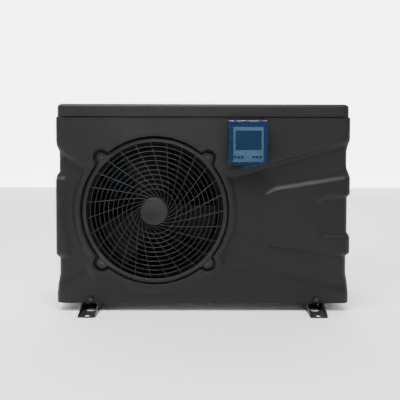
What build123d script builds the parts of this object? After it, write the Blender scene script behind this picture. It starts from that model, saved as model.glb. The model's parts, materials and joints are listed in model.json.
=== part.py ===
"""Pool heat pump unit: moulded case, axial fan, refrigerant circuit and water exchanger.

Millimetres. +Z is up, the front (fan) side faces -Y and +X is to the right seen from the front.
The origin is on the floor, under the middle of the unit. "Depth" below always means a distance
towards the front, so a plane of depth d lies at Y = -d.
"""
from build123d import *
import math
import os

os.makedirs("parts", exist_ok=True)

# ---------------------------------------------------------------- driving dimensions
HEIGHT = 700.0            # floor to the top of the lid
CASE_BOTTOM = 28.0        # underside of the case, on the foot rails
SEAM_Z = 657.0            # joint between the case and its lid
WALL = 4.0                # moulded plastic wall
SHEET = 2.0               # folded steel sheet

PAD_HALF = 500.0          # half width over the raised side pads
TOP_HALF = 497.0          # half width of the raised top region
BOTTOM_HALF = 497.0       # half width of the raised bottom region
WAIST_HALF = 490.0        # half width of the recessed bands

MID_DEPTH = 150.0         # front surface of the recessed middle band
TOP_RAISE = 15.0
BOTTOM_RAISE = 8.0
PAD_RAISE = 10.0
NOTCH_RAISE = 3.0
SEAM_DEPTH = 95.0         # the front panel's sides end here
CORNER_R = 42.0           # rounding of the front panel's upright corners
REAR_Y = 165.0            # rear edge of the side panels

FAN_X = -162.0
FAN_Z = 342.0
OPENING_R = 230.0         # air opening behind the grille
RECESS_R = 252.0          # recess that the grille sits in
EAR_SPREAD = 178.0        # grille screws, each way from the fan's centre
EAR_R = 20.0
RECESS_EAR_R = 30.0
SEAT_DEPTH = 148.0        # floor of the recess
GRILLE_RIM_R = 246.0
RING_FIRST_R = 75.0
RING_PITCH = 15.6
RING_COUNT = 10
HUB_DISC_R = 44.5
SPOKES = 27
HUB_DEPTH = 178.0         # the grille's highest point, at its hub
DOME_R = 1332.0           # sphere that the grille is dished to
DOME_WALL = 5.0
SWIRL = 54.2              # a spoke turns by SWIRL * (1 / r - 1 / rim) radians
RIB = 3.0                 # rib width

CTRL_X = 148.0
CTRL_W = 120.0            # controller housing
CTRL_TOP = 636.0
CTRL_BOTTOM = 500.0
FACE_DEPTH = MID_DEPTH + TOP_RAISE
BEZEL_DEPTH = 190.0       # front of the controller's fixed bezel
COVER_DEPTH = 197.0       # front of the hinged cover
COVER_HALF = 66.0
COVER_TOP = 643.0
COVER_BOTTOM = 494.0
COVER_WALL = 2.5
HINGE_Z = 642.0
HINGE_DEPTH = 172.0
BUTTON_Z = 523.0
BUTTON_X = (-43.0, -31.5, -20.0, 17.0, 28.5, 40.0)

RAIL_X = 379.0
RAIL_HALF = 29.0
RAIL_END = 215.0
ANCHOR_Y = 200.0
ANCHOR_R = 7.5
LIGHTENING_Y = 141.0
LIGHTENING_R = 18.0

FOOT_SCREW_X = (-378.0, 383.0)
FOOT_SCREW_Z = 42.0

PARTITION_X = 84.0
EXCHANGER_X = 395.0
EXCHANGER_Y = 62.0
EXCHANGER_R = 80.0
INLET_Z = 150.0
OUTLET_Z = 430.0
SOCKET_R = 25.0           # water pipe socket, for a 50 mm pipe
GAUGE_X = 190.0
GAUGE_Z = 560.0
GLAND_X = 445.0
POWER_GLAND_Z = 520.0
SIGNAL_GLAND_Z = 575.0
DRAIN_X = -300.0
DRAIN_Y = 60.0
COMPRESSOR_X = 215.0
COMPRESSOR_Y = 20.0
GUARD_REAR = 163.0        # rear surface of the rear panels
GUARD_FRONT = 159.0

SOUTH = (0, -1, 0)
NORTH = (0, 1, 0)
UP = (0, 0, 1)
FAN_AXIS = Axis((FAN_X, 0, FAN_Z), (0, 1, 0))


# ---------------------------------------------------------------- small helpers
def block(low, high, mode=Mode.ADD):
    """A box between two corners."""
    size = [b - a for a, b in zip(low, high)]
    with Locations(tuple((a + b) / 2 for a, b in zip(low, high))):
        Box(*size, mode=mode)


def rod(radius, start, direction, length, mode=Mode.ADD):
    """A round bar from a start point along a direction."""
    with Locations(Plane(origin=start, z_dir=direction)):
        Cylinder(radius, length, align=(Align.CENTER, Align.CENTER, Align.MIN), mode=mode)


def fan_plane(depth):
    """A plane facing the front, centred on the fan."""
    return Plane(origin=(FAN_X, -depth, FAN_Z), x_dir=(1, 0, 0), z_dir=SOUTH)


def front_plane(depth):
    """A plane facing the front whose local axes are X and Z of the unit."""
    return Plane(origin=(0, -depth, 0), x_dir=(1, 0, 0), z_dir=SOUTH)


def fan_section():
    """The plane in which profiles turned about the fan axis are drawn: radius and Y."""
    return Plane(origin=(FAN_X, 0, FAN_Z), x_dir=(1, 0, 0), z_dir=UP)


def pipe_run(points, bend, outer, inner):
    """A bent tube along straight runs joined by arcs."""
    with BuildPart() as run:
        with BuildLine():
            path = FilletPolyline(*points, radius=bend)
        with BuildSketch(Plane(origin=path @ 0, z_dir=path % 0)):
            Circle(outer)
            Circle(inner, mode=Mode.SUBTRACT)
        sweep(path=path)
    return run.part


# ---------------------------------------------------------------- the case's outline
def right_outline(inset):
    """Half width against height on the right, from the bottom up, stepped by the notched pad."""
    steps = [(BOTTOM_HALF, CASE_BOTTOM), (BOTTOM_HALF, 87), (WAIST_HALF, 127), (WAIST_HALF, 187)]
    steps += [(PAD_HALF, 197), (PAD_HALF, 258), (WAIST_HALF + 2, 267), (WAIST_HALF + 2, 388)]
    steps += [(PAD_HALF, 397), (PAD_HALF, 463), (WAIST_HALF, 490), (WAIST_HALF, 543)]
    steps += [(TOP_HALF, 573), (TOP_HALF, SEAM_Z)]
    return [(half - inset, z) for half, z in steps]


def left_outline(inset):
    """The same on the left, where the pad is a single long one."""
    steps = [(BOTTOM_HALF, CASE_BOTTOM), (BOTTOM_HALF, 87), (WAIST_HALF, 122), (WAIST_HALF, 178)]
    steps += [(PAD_HALF, 188), (PAD_HALF, 461), (WAIST_HALF, 471), (WAIST_HALF, 540)]
    steps += [(TOP_HALF, 573), (TOP_HALF, SEAM_Z)]
    return [(-(half - inset), z) for half, z in steps]


def case_outline(inset):
    """Closed outline of the case seen from the front."""
    return right_outline(inset) + left_outline(inset)[::-1]


TOP_REGION = [(-520, 680), (-520, 552), (-487, 538), (-413, 483), (-330, 420), (20, 420),
              (88, 453), (483, 562), (520, 572), (520, 680)]
BOTTOM_REGION = [(-520, 10), (-520, 70), (-479, 98), (-388, 163), (-330, 190), (20, 190),
                 (63, 181), (473, 88), (520, 78), (520, 10)]
RIGHT_PAD = [(205, 231), (205, 402), (242, 421), (520, 468), (520, 389), (393, 380), (393, 262),
             (520, 256), (520, 184), (238, 214)]
NOTCH = [(380, 250), (380, 392), (520, 400), (520, 245)]
LEFT_PAD = [(-520, 183), (-520, 455), (-457, 455), (-462, 342), (-440, 183)]


def front_form(inset, overrun):
    """Solid form of the front: band, raised regions, pads and fan bead, inset by a wall."""
    with BuildPart() as form:
        with BuildSketch(front_plane(SEAM_DEPTH - overrun)):
            Polygon(*case_outline(inset), align=None)
        extrude(amount=MID_DEPTH - inset - SEAM_DEPTH + overrun)
        reliefs = ((TOP_REGION, TOP_RAISE, 45), (BOTTOM_REGION, BOTTOM_RAISE, 60),
                   (RIGHT_PAD, PAD_RAISE, 45), (NOTCH, NOTCH_RAISE, 45), (LEFT_PAD, PAD_RAISE, 45))
        for region, height, slope in reliefs:
            with BuildSketch(front_plane(MID_DEPTH - inset - 1)):
                Polygon(*region, align=None)
                offset(amount=-inset, kind=Kind.INTERSECTION)
            extrude(amount=height + 1, taper=slope)
        with BuildSketch(fan_section()):
            with BuildLine():
                Polyline((RECESS_R, -MID_DEPTH + 8), (RECESS_R, -160), (257, -166 + inset),
                         (263, -166 + inset), (285 - inset, -MID_DEPTH + inset),
                         (285 - inset, -MID_DEPTH + 8), close=True)
            make_face()
        revolve(axis=FAN_AXIS)
        with BuildSketch(front_plane(SEAM_DEPTH - overrun - 1)):
            Polygon(*case_outline(inset), align=None)
        extrude(amount=100, mode=Mode.INTERSECT)
        with BuildSketch(Plane.XY.offset(CASE_BOTTOM)):
            RectangleRounded(2 * (PAD_HALF - inset), 2 * (FACE_DEPTH + 1 - inset), CORNER_R)
        extrude(amount=SEAM_Z - CASE_BOTTOM, mode=Mode.INTERSECT)
    return form.part


def ear_points():
    """The four grille screws, relative to the fan's centre."""
    return [(sx * EAR_SPREAD, sz * EAR_SPREAD) for sx in (-1, 1) for sz in (-1, 1)]


def eared_prism(radius, ear_radius, depth, length):
    """A round plug with four ears, for the recess and for its cup."""
    with BuildPart() as prism:
        with BuildSketch(fan_plane(depth)):
            Circle(radius)
            with Locations(*ear_points()):
                Circle(ear_radius)
        extrude(amount=length)
    return prism.part


# ---------------------------------------------------------------- case
def make_front_panel():
    outer = front_form(0, 0)
    inner = front_form(WALL, 1)
    cup = eared_prism(RECESS_R + WALL, RECESS_EAR_R + WALL, SEAT_DEPTH - WALL, 40)
    recess = eared_prism(RECESS_R, RECESS_EAR_R, SEAT_DEPTH, 40)
    with BuildPart() as hollow:
        add(inner)
        add(cup, mode=Mode.SUBTRACT)
    with BuildPart() as front_panel:
        add(outer)
        add(hollow.part, mode=Mode.SUBTRACT)
        add(recess, mode=Mode.SUBTRACT)
        rod(OPENING_R, (FAN_X, -SEAT_DEPTH - 1, FAN_Z), NORTH, 60, Mode.SUBTRACT)
        for dx, dz in ear_points():
            rod(7, (FAN_X + dx, -SEAT_DEPTH + 1, FAN_Z + dz), NORTH, 19)
            rod(2.6, (FAN_X + dx, -SEAT_DEPTH - 1, FAN_Z + dz), NORTH, 30, Mode.SUBTRACT)
        rod(12, (CTRL_X, -FACE_DEPTH - 1, 568), NORTH, 12, Mode.SUBTRACT)
        for x in FOOT_SCREW_X:
            rod(3, (x, -FACE_DEPTH, FOOT_SCREW_Z), NORTH, 30, Mode.SUBTRACT)
    front_panel.part.label = "front_panel"
    export_step(front_panel.part, "parts/front_panel.step")


def make_side_panel(name, outer, inner, slots):
    """A moulded side whose outline carries the pads round from the front."""
    with BuildPart() as panel:
        with BuildSketch(front_plane(SEAM_DEPTH - 0.5)):
            Polygon(*(outer + inner[::-1]), align=None)
        extrude(amount=-(REAR_Y + SEAM_DEPTH - 0.5))
        if slots:
            with Locations(*[(-WAIST_HALF, 10, z) for z in range(130, 620, 16)]):
                Box(40, 150, 8, mode=Mode.SUBTRACT)
    panel.part.label = name
    export_step(panel.part, f"parts/{name}.step")


def make_side_panels():
    make_side_panel("right_side_panel", right_outline(0), right_outline(WALL), False)
    make_side_panel("left_side_panel", left_outline(0), left_outline(WALL), True)


def make_rear_panel():
    """Rear of the dry side, with the water ports, gauge, glands and a wiring hatch."""
    with BuildPart() as rear_panel:
        block((112, GUARD_FRONT, 30), (484, GUARD_REAR, 656))
        for z in (INLET_Z, OUTLET_Z):
            rod(38, (EXCHANGER_X, GUARD_FRONT - 1, z), NORTH, 10, Mode.SUBTRACT)
        rod(27, (GAUGE_X, GUARD_FRONT - 1, GAUGE_Z), NORTH, 10, Mode.SUBTRACT)
        rod(11, (GLAND_X, GUARD_FRONT - 1, POWER_GLAND_Z), NORTH, 10, Mode.SUBTRACT)
        rod(8, (GLAND_X, GUARD_FRONT - 1, SIGNAL_GLAND_Z), NORTH, 10, Mode.SUBTRACT)
        block((262, GUARD_FRONT - 1, 500), (398, GUARD_REAR + 1, 620), Mode.SUBTRACT)
        for x in (248, 412):
            for z in (486, 634):
                rod(2.2, (x, GUARD_FRONT - 1, z), NORTH, 10, Mode.SUBTRACT)
    rear_panel.part.label = "rear_panel"
    export_step(rear_panel.part, "parts/rear_panel.step")


def make_rear_coil_guard():
    """Rear guard of the wet side: a frame with rows of air slots."""
    with BuildPart() as rear_coil_guard:
        block((-484, GUARD_FRONT, 30), (111, GUARD_REAR, 656))
        with Locations((-186, 161, 343)):
            with GridLocations(139, 1, 4, 1):
                for z in range(-250, 251, 20):
                    with Locations((0, 0, z)):
                        Box(125, 10, 12, mode=Mode.SUBTRACT)
    rear_coil_guard.part.label = "rear_coil_guard"
    export_step(rear_coil_guard.part, "parts/rear_coil_guard.step")


def make_lid():
    """The moulded top: a rounded shell with a locating tongue inside the case."""
    half_x = 492.0
    half_y = 167.0
    with BuildPart() as lid:
        with BuildSketch(Plane.XY.offset(SEAM_Z)):
            RectangleRounded(2 * half_x, 2 * half_y, 30)
        extrude(amount=HEIGHT - SEAM_Z)
        fillet(lid.faces().sort_by(Axis.Z)[-1].edges(), 12)
        with BuildSketch(Plane.XY.offset(SEAM_Z)):
            RectangleRounded(2 * (half_x - WALL), 2 * (half_y - WALL), 26)
        extrude(amount=HEIGHT - SEAM_Z - 12, mode=Mode.SUBTRACT)
        with BuildSketch(Plane.XY.offset(HEIGHT - 12)):
            RectangleRounded(2 * (half_x - 14), 2 * (half_y - 14), 16)
        extrude(amount=8, mode=Mode.SUBTRACT)
        with BuildSketch(Plane.XY.offset(SEAM_Z - 10)):
            with Locations((0, 6)):
                RectangleRounded(956, 296, 20)
                RectangleRounded(950, 290, 17, mode=Mode.SUBTRACT)
        extrude(amount=HEIGHT - 4 - SEAM_Z + 10)
    lid.part.label = "lid"
    export_step(lid.part, "parts/lid.step")


def make_service_cover():
    """Screwed hatch over the mains terminals."""
    with BuildPart() as service_cover:
        with BuildSketch(front_plane(-GUARD_REAR)):
            with Locations((330, 560)):
                RectangleRounded(186, 166, 10)
        extrude(amount=-3)
        with Locations((330, GUARD_REAR + 3, 540)):
            Box(90, 6, 10)
        for x in (248, 412):
            for z in (486, 634):
                rod(2.6, (x, GUARD_REAR - 1, z), NORTH, 8, Mode.SUBTRACT)
    service_cover.part.label = "service_cover"
    export_step(service_cover.part, "parts/service_cover.step")


# ---------------------------------------------------------------- base and feet
def make_foot_rail(name, centre_x):
    """Folded steel channel, open upwards, with lips that carry the base and tapered tips."""
    with BuildPart() as rail:
        block((centre_x - RAIL_HALF, -RAIL_END, 0), (centre_x + RAIL_HALF, RAIL_END, 2.5))
        fillet(rail.edges().filter_by(Axis.Z), 6)
        for side in (-1, 1):
            wall_x = centre_x + side * (RAIL_HALF - 1.25)
            with BuildSketch(Plane(origin=(wall_x, 0, 0), x_dir=(0, 1, 0), z_dir=(1, 0, 0))):
                Polygon((-208, 1), (-208, 6), (-172, 26), (-160, CASE_BOTTOM), (160, CASE_BOTTOM),
                        (172, 26), (208, 6), (208, 1), align=None)
            extrude(amount=1.25, both=True)
            lip_x = centre_x + side * (RAIL_HALF - 10)
            block((lip_x - 9, -150, CASE_BOTTOM - 2.5), (lip_x + 9, 150, CASE_BOTTOM))
        for y in (-ANCHOR_Y, ANCHOR_Y):
            rod(ANCHOR_R, (centre_x, y, -1), UP, 10, Mode.SUBTRACT)
        for y in (-LIGHTENING_Y, LIGHTENING_Y):
            rod(LIGHTENING_R, (centre_x, y, -1), UP, 10, Mode.SUBTRACT)
        for x, y in foot_bolt_points(centre_x):
            rod(4.5, (x, y, 20), UP, 20, Mode.SUBTRACT)
    rail.part.label = name
    export_step(rail.part, f"parts/{name}.step")


def foot_bolt_points(centre_x):
    """Two bolts through each lip, fore and aft."""
    return [(centre_x + side * 17, y) for side in (-1, 1) for y in (-130, 130)]


def make_base_pan():
    """Drip tray and floor of the unit."""
    with BuildPart() as base_pan:
        block((-483, -150, CASE_BOTTOM), (483, 157, 58))
        fillet(base_pan.edges().filter_by(Axis.Z), 12)
        block((-481, -148, CASE_BOTTOM + SHEET), (481, 155, 60), Mode.SUBTRACT)
        for centre_x in (-RAIL_X, RAIL_X):
            for x, y in foot_bolt_points(centre_x):
                rod(4.5, (x, y, 20), UP, 20, Mode.SUBTRACT)
        rod(8, (DRAIN_X, DRAIN_Y, 20), UP, 20, Mode.SUBTRACT)
        for x in FOOT_SCREW_X:
            rod(3, (x, -140, FOOT_SCREW_Z), SOUTH, 20, Mode.SUBTRACT)
    base_pan.part.label = "base_pan"
    export_step(base_pan.part, "parts/base_pan.step")


def make_drain_spigot():
    """Condensate outlet under the drip tray."""
    with BuildPart() as drain_spigot:
        rod(14, (DRAIN_X, DRAIN_Y, CASE_BOTTOM), (0, 0, -1), 3)
        rod(9, (DRAIN_X, DRAIN_Y, CASE_BOTTOM), (0, 0, -1), 22)
        rod(7.9, (DRAIN_X, DRAIN_Y, CASE_BOTTOM), UP, 4)
        rod(6.5, (DRAIN_X, DRAIN_Y, 0), UP, 40, Mode.SUBTRACT)
    drain_spigot.part.label = "drain_spigot"
    export_step(drain_spigot.part, "parts/drain_spigot.step")


# ---------------------------------------------------------------- fan
def swirl_angle(radius):
    """How far a spoke has turned at a radius, measured back from the rim."""
    return -SWIRL * (1 / radius - 1 / OPENING_R)


def rib_half_angle(radius):
    """Half of a spoke's width as an angle, allowing for its slant."""
    return RIB / 2 / (radius * math.cos(math.atan(SWIRL / radius)))


def polar(radius, angle):
    return (radius * math.cos(angle), radius * math.sin(angle))


def grille_bands():
    """The open bands between the hub disc, the rings and the rim."""
    rings = [RING_FIRST_R + RING_PITCH * i for i in range(RING_COUNT)]
    inner = [HUB_DISC_R] + [r + RIB / 2 for r in rings]
    outer = [r - RIB / 2 for r in rings] + [OPENING_R - 2]
    return list(zip(inner, outer))


def dome_depth(sphere_r, radius):
    """Depth of a sphere about the dome's centre, which lies on the fan axis behind the grille."""
    return HUB_DEPTH - DOME_R + math.sqrt(sphere_r ** 2 - radius ** 2)


def make_fan_grille():
    """Domed guard: hub disc, thin rings and swirled spokes, cut as cells from a dished shell."""
    pitch = 2 * math.pi / SPOKES
    with BuildPart() as fan_grille:
        with BuildSketch(fan_section()):
            with BuildLine():
                outer = [(r, -dome_depth(DOME_R, r)) for r in (0, 120, OPENING_R)]
                inner = [(r, -dome_depth(DOME_R - DOME_WALL, r)) for r in (OPENING_R, 120, 0)]
                ThreePointArc(*outer)
                Polyline(outer[-1], (GRILLE_RIM_R, -156), (GRILLE_RIM_R, -148.4), (OPENING_R, -148.4),
                         inner[0])
                ThreePointArc(*inner)
                Line(inner[-1], outer[0])
            make_face()
        revolve(axis=FAN_AXIS)
        with BuildSketch(fan_plane(140)):
            for r0, r1 in grille_bands():
                a0 = swirl_angle(r0) + rib_half_angle(r0)
                a1 = swirl_angle(r1) + rib_half_angle(r1)
                b0 = swirl_angle(r0) + pitch - rib_half_angle(r0)
                b1 = swirl_angle(r1) + pitch - rib_half_angle(r1)
                with PolarLocations(0, SPOKES):
                    with BuildSketch(mode=Mode.PRIVATE) as cell:
                        with BuildLine():
                            Line(polar(r0, a0), polar(r1, a1))
                            ThreePointArc(polar(r1, a1), polar(r1, (a1 + b1) / 2), polar(r1, b1))
                            Line(polar(r1, b1), polar(r0, b0))
                            ThreePointArc(polar(r0, b0), polar(r0, (a0 + b0) / 2), polar(r0, a0))
                        make_face()
                    add(cell.sketch)
        extrude(amount=60, mode=Mode.SUBTRACT)
        with BuildSketch(fan_plane(148.4)):
            with Locations(*ear_points()):
                Circle(EAR_R)
            Circle(OPENING_R + 8, mode=Mode.SUBTRACT)
        extrude(amount=6)
        for dx, dz in ear_points():
            rod(2.8, (FAN_X + dx, -160, FAN_Z + dz), NORTH, 20, Mode.SUBTRACT)
    fan_grille.part.label = "fan_grille"
    export_step(fan_grille.part, "parts/fan_grille.step")


def make_fan_shroud():
    """Bell-mouthed orifice ring that the blades run in."""
    with BuildPart() as fan_shroud:
        with BuildSketch(fan_section()):
            with BuildLine():
                Polyline((243, -143.6), (228, -143.6))
                ThreePointArc((228, -143.6), (219.5, -140.1), (216, -131.6))
                Polyline((216, -131.6), (216, -70), (218.5, -70), (218.5, -131.1))
                ThreePointArc((218.5, -131.1), (221.3, -138.1), (228.3, -141.1))
                Polyline((228.3, -141.1), (243, -141.1), (243, -143.6))
            make_face()
        revolve(axis=FAN_AXIS)
    fan_shroud.part.label = "fan_shroud"
    export_step(fan_shroud.part, "parts/fan_shroud.step")


def make_fan_impeller():
    """Axial fan: a hub with three broad twisted blades trimmed to a running clearance."""
    with BuildPart() as blade:
        for radius, chord, pitch in ((38, 90, 38), (125, 135, 27), (216, 190, 19)):
            lean = math.radians(pitch)
            chord_dir = (0, -math.sin(lean), math.cos(lean))
            with BuildSketch(Plane(origin=(FAN_X + radius, -90, FAN_Z), x_dir=chord_dir, z_dir=(1, 0, 0))):
                SlotOverall(chord, 4.5)
        loft()
        rod(210, (FAN_X, 0, FAN_Z), SOUTH, 200, Mode.INTERSECT)
    with BuildPart() as fan_impeller:
        rod(46, (FAN_X, -62, FAN_Z), SOUTH, 56)
        fillet(fan_impeller.edges().sort_by(Axis.Y)[0], 8)
        for k in range(3):
            add(blade.part.rotate(FAN_AXIS, 120 * k + 20))
        rod(6.02, (FAN_X, -50, FAN_Z), SOUTH, 100, Mode.SUBTRACT)
    fan_impeller.part.label = "fan_impeller"
    export_step(fan_impeller.part, "parts/fan_impeller.step")


def make_fan_motor():
    with BuildPart() as fan_motor:
        rod(52, (FAN_X, 45, FAN_Z), SOUTH, 85)
        fillet(fan_motor.edges().sort_by(Axis.Y)[0], 6)
        for angle in range(0, 360, 30):
            a = math.radians(angle)
            rod(3, (FAN_X + 54 * math.cos(a), 40, FAN_Z + 54 * math.sin(a)), SOUTH, 70)
        for sx in (-1, 1):
            for sz in (-1, 1):
                rod(9, (FAN_X + sx * 48, 45, FAN_Z + sz * 48), SOUTH, 6)
                rod(2.6, (FAN_X + sx * 48, 46, FAN_Z + sz * 48), SOUTH, 12, Mode.SUBTRACT)
        rod(6.06, (FAN_X, -60, FAN_Z), NORTH, 85, Mode.SUBTRACT)
    fan_motor.part.label = "fan_motor"
    export_step(fan_motor.part, "parts/fan_motor.step")


def make_fan_shaft():
    with BuildPart() as fan_shaft:
        rod(6, (FAN_X, 20, FAN_Z), SOUTH, 150)
        chamfer(fan_shaft.edges().sort_by(Axis.Y)[0], 1)
    fan_shaft.part.label = "fan_shaft"
    export_step(fan_shaft.part, "parts/fan_shaft.step")


def make_fan_nut():
    """Domed nut that holds the impeller on the shaft."""
    with BuildPart() as fan_nut:
        with BuildSketch(fan_plane(118.2)):
            RegularPolygon(11, 6)
        extrude(amount=9)
        rod(6.02, (FAN_X, -117, FAN_Z), SOUTH, 20, Mode.SUBTRACT)
    fan_nut.part.label = "fan_nut"
    export_step(fan_nut.part, "parts/fan_nut.step")


def make_motor_bracket():
    """Two folded uprights and a cross plate that carry the motor."""
    with BuildPart() as motor_bracket:
        for side in (-1, 1):
            x = FAN_X + side * 71
            block((x - 16, 45, 30), (x + 16, 47, 640))
            block((x - 16, 47, 30), (x + 16, 72, 32))
            for edge in (-16, 14):
                block((x + edge, 47, 30), (x + edge + 2, 60, 640))
        block((FAN_X - 90, 45, FAN_Z - 70), (FAN_X + 90, 47, FAN_Z + 70))
        for sx in (-1, 1):
            for sz in (-1, 1):
                rod(2.6, (FAN_X + sx * 48, 44, FAN_Z + sz * 48), NORTH, 20, Mode.SUBTRACT)
    motor_bracket.part.label = "motor_bracket"
    export_step(motor_bracket.part, "parts/motor_bracket.step")


# ---------------------------------------------------------------- evaporator
TUBE_Z = [60 + 48 * i for i in range(12)]
COIL_TUBE_R = 4.75
FIN_Z = 338.0             # middle height of the fin plates
COIL_END_X = 50.0         # right-hand end of the tubes


def make_evaporator_fins():
    """Upright aluminium plates, along the rear and round the left side, holed for the tubes."""
    with BuildPart() as evaporator_fins:
        rear = [Plane(origin=(x, 125, FIN_Z), x_dir=(0, 1, 0), z_dir=(1, 0, 0)) for x in range(-430, 46, 9)]
        with BuildSketch(*rear):
            Rectangle(26, 600)
            with Locations(*[(0, z - FIN_Z) for z in TUBE_Z]):
                Circle(COIL_TUBE_R + 0.05, mode=Mode.SUBTRACT)
        extrude(amount=1)
        side = [Plane(origin=(-458, y, FIN_Z), x_dir=(-1, 0, 0), z_dir=(0, 1, 0)) for y in range(-84, 92, 9)]
        with BuildSketch(*side):
            Rectangle(26, 600)
            with Locations(*[(0, z - FIN_Z) for z in TUBE_Z]):
                Circle(COIL_TUBE_R + 0.05, mode=Mode.SUBTRACT)
        extrude(amount=1)
    evaporator_fins.part.label = "evaporator_fins"
    export_step(evaporator_fins.part, "parts/evaporator_fins.step")


def make_evaporator_tubes():
    """Copper hairpins: long L-shaped tubes joined in pairs by return bends."""
    run = pipe_run([(COIL_END_X, 125, 0), (-458, 125, 0), (-458, -92, 0)], 25, COIL_TUBE_R, COIL_TUBE_R - 0.6)
    with BuildPart() as bend:
        with BuildSketch(Plane(origin=(COIL_END_X + 0.05, 125, 0), x_dir=(0, 1, 0), z_dir=(1, 0, 0))):
            Circle(COIL_TUBE_R)
            Circle(COIL_TUBE_R - 0.6, mode=Mode.SUBTRACT)
        revolve(axis=Axis((COIL_END_X + 0.05, 125, 24), (0, 1, 0)), revolution_arc=-180)
    with BuildPart() as evaporator_tubes:
        for z in TUBE_Z:
            add(run.moved(Location((0, 0, z))))
        for z in TUBE_Z[::2]:
            add(bend.part.moved(Location((0, 0, z))))
    evaporator_tubes.part.label = "evaporator_tubes"
    export_step(evaporator_tubes.part, "parts/evaporator_tubes.step")


def make_partition_plate():
    """Sheet wall between the fan side and the dry side."""
    with BuildPart() as partition_plate:
        block((PARTITION_X, -138, 30), (PARTITION_X + 1.5, 154, 640))
        block((PARTITION_X, -100, 30), (PARTITION_X + 20, 100, 31.5))
    partition_plate.part.label = "partition_plate"
    export_step(partition_plate.part, "parts/partition_plate.step")


# ---------------------------------------------------------------- refrigerant circuit
def compressor_feet():
    """Three fixing points round the compressor."""
    angles = [math.radians(90 + 120 * k) for k in range(3)]
    return [(COMPRESSOR_X + 74 * math.cos(a), COMPRESSOR_Y + 74 * math.sin(a)) for a in angles]


def make_compressor():
    with BuildPart() as compressor:
        rod(58, (COMPRESSOR_X, COMPRESSOR_Y, 50), UP, 230)
        fillet(compressor.edges().sort_by(Axis.Z)[-1], 28)
        with BuildSketch(Plane.XY.offset(46)):
            with BuildSketch(mode=Mode.PRIVATE) as feet:
                with Locations(*compressor_feet()):
                    Circle(15)
            add(feet.sketch)
            make_hull()
        extrude(amount=4)
        with Locations(*[(x, y, 40) for x, y in compressor_feet()]):
            Cylinder(7.1, 40, mode=Mode.SUBTRACT)
        rod(20, (COMPRESSOR_X, COMPRESSOR_Y, 278), UP, 10)
        rod(7, (COMPRESSOR_X + 34, COMPRESSOR_Y, 260), UP, 30)
    compressor.part.label = "compressor"
    export_step(compressor.part, "parts/compressor.step")


def make_compressor_mounts():
    """Rubber grommets under the compressor's feet."""
    with BuildPart() as compressor_mounts:
        for x, y in compressor_feet():
            rod(12, (x, y, 30), UP, 16)
            rod(7, (x, y, 46), UP, 8)
            rod(4.2, (x, y, 29), UP, 30, Mode.SUBTRACT)
    compressor_mounts.part.label = "compressor_mounts"
    export_step(compressor_mounts.part, "parts/compressor_mounts.step")


def make_suction_accumulator():
    with BuildPart() as suction_accumulator:
        rod(32, (125, 72, 90), UP, 170)
        fillet(suction_accumulator.edges().group_by(Axis.Z)[-1], 14)
        fillet(suction_accumulator.edges().group_by(Axis.Z)[0], 14)
        rod(6, (125, 72, 255), UP, 20)
    suction_accumulator.part.label = "suction_accumulator"
    export_step(suction_accumulator.part, "parts/suction_accumulator.step")


def make_reversing_valve():
    """Four-way valve with its solenoid."""
    with BuildPart() as reversing_valve:
        rod(17, (150, 20, 400), (1, 0, 0), 120)
        rod(6.5, (210, 20, 400), UP, 40)
        for x in (180, 210, 240):
            rod(6.5, (x, 20, 400), (0, 0, -1), 40)
        rod(14, (210, 20, 400), SOUTH, 50)
    reversing_valve.part.label = "reversing_valve"
    export_step(reversing_valve.part, "parts/reversing_valve.step")


def export_pipe(name, *runs):
    with BuildPart() as pipe:
        for points, bend, outer in runs:
            add(pipe_run(points, bend, outer, outer - 0.8))
    pipe.part.label = name
    export_step(pipe.part, f"parts/{name}.step")


def make_pipes():
    """Copper lines between the compressor, the valve, the coil and the exchanger."""
    discharge = [(249, 20, 290.2), (249, 20, 320), (280, -30, 350), (280, -60, 470), (210, 20, 480),
                 (210, 20, 440.2)]
    export_pipe("discharge_pipe", (discharge, 14, 6.35))
    suction = [(210, 20, 359.8), (210, 20, 330), (125, 72, 330), (125, 72, 275.2)]
    export_pipe("suction_pipe", (suction, 9, 6))
    liquid = [(300, -66, 360.2), (300, -66, 450), (395, -66, 450), (395, -18.4, 450)]
    export_pipe("liquid_pipe", (liquid, 15, 5))
    gas = [(240, 20, 359.8), (240, 20, 335), (285, 62, 310), (285, 62, 260), (314.8, 62, 260)]
    coil = [(180, 20, 359.8), (180, 20, 335), (130, -20, 335), (115, -20, 380), (86.2, -20, 380)]
    export_pipe("gas_pipes", (gas, 8, 5), (coil, 8, 5))


def make_filter_drier():
    with BuildPart() as filter_drier:
        rod(20, (300, -66, 240), UP, 100)
        fillet(filter_drier.edges().group_by(Axis.Z)[-1], 10)
        fillet(filter_drier.edges().group_by(Axis.Z)[0], 10)
        rod(5, (300, -66, 335), UP, 25)
        rod(5, (300, -66, 215), UP, 30)
    filter_drier.part.label = "filter_drier"
    export_step(filter_drier.part, "parts/filter_drier.step")


def make_expansion_valve():
    with BuildPart() as expansion_valve:
        rod(13, (300, -66, 165), UP, 50)
        rod(9, (300, -66, 190), SOUTH, 26)
        rod(16, (300, -92, 190), SOUTH, 20)
    expansion_valve.part.label = "expansion_valve"
    export_step(expansion_valve.part, "parts/expansion_valve.step")


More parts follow.
